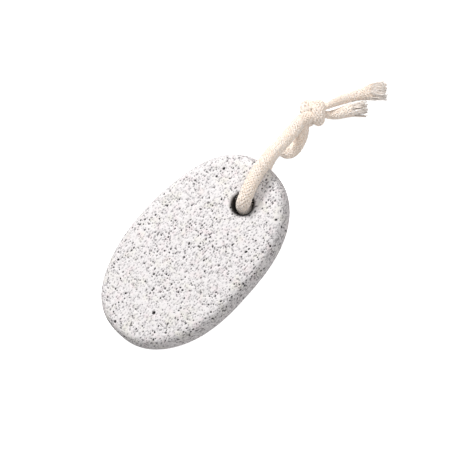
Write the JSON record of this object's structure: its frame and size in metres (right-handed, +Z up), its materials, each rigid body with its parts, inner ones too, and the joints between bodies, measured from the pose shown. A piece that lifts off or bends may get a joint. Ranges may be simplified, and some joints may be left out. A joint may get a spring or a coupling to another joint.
{
  "type": "pumice stone",
  "caption": "Oval foot pumice with a flat top, worn edges and a crowned underside, drilled near one end for a knotted loop of cotton cord.",
  "frame": {"origin": "middle of the stone's footprint, on the surface it lies on", "axes": "+X along the stone towards the end with the hole, +Y across it, +Z up through its broad top face"},
  "size_m": [0.1637, 0.0618, 0.0316],
  "materials": {
    "pumice": "pale lilac-grey volcanic glass foam, dry, rough and full of pores",
    "cotton": "undyed braided cotton, soft, matt and slightly fuzzy"
  },
  "bodies": {
    "root": {"stone": "pumice", "cord_front": "cotton", "cord_back": "cotton", "cord_knot": "cotton", "cord_tail_long": "cotton", "cord_tail_short": "cotton"}
  },
  "joints": []
}
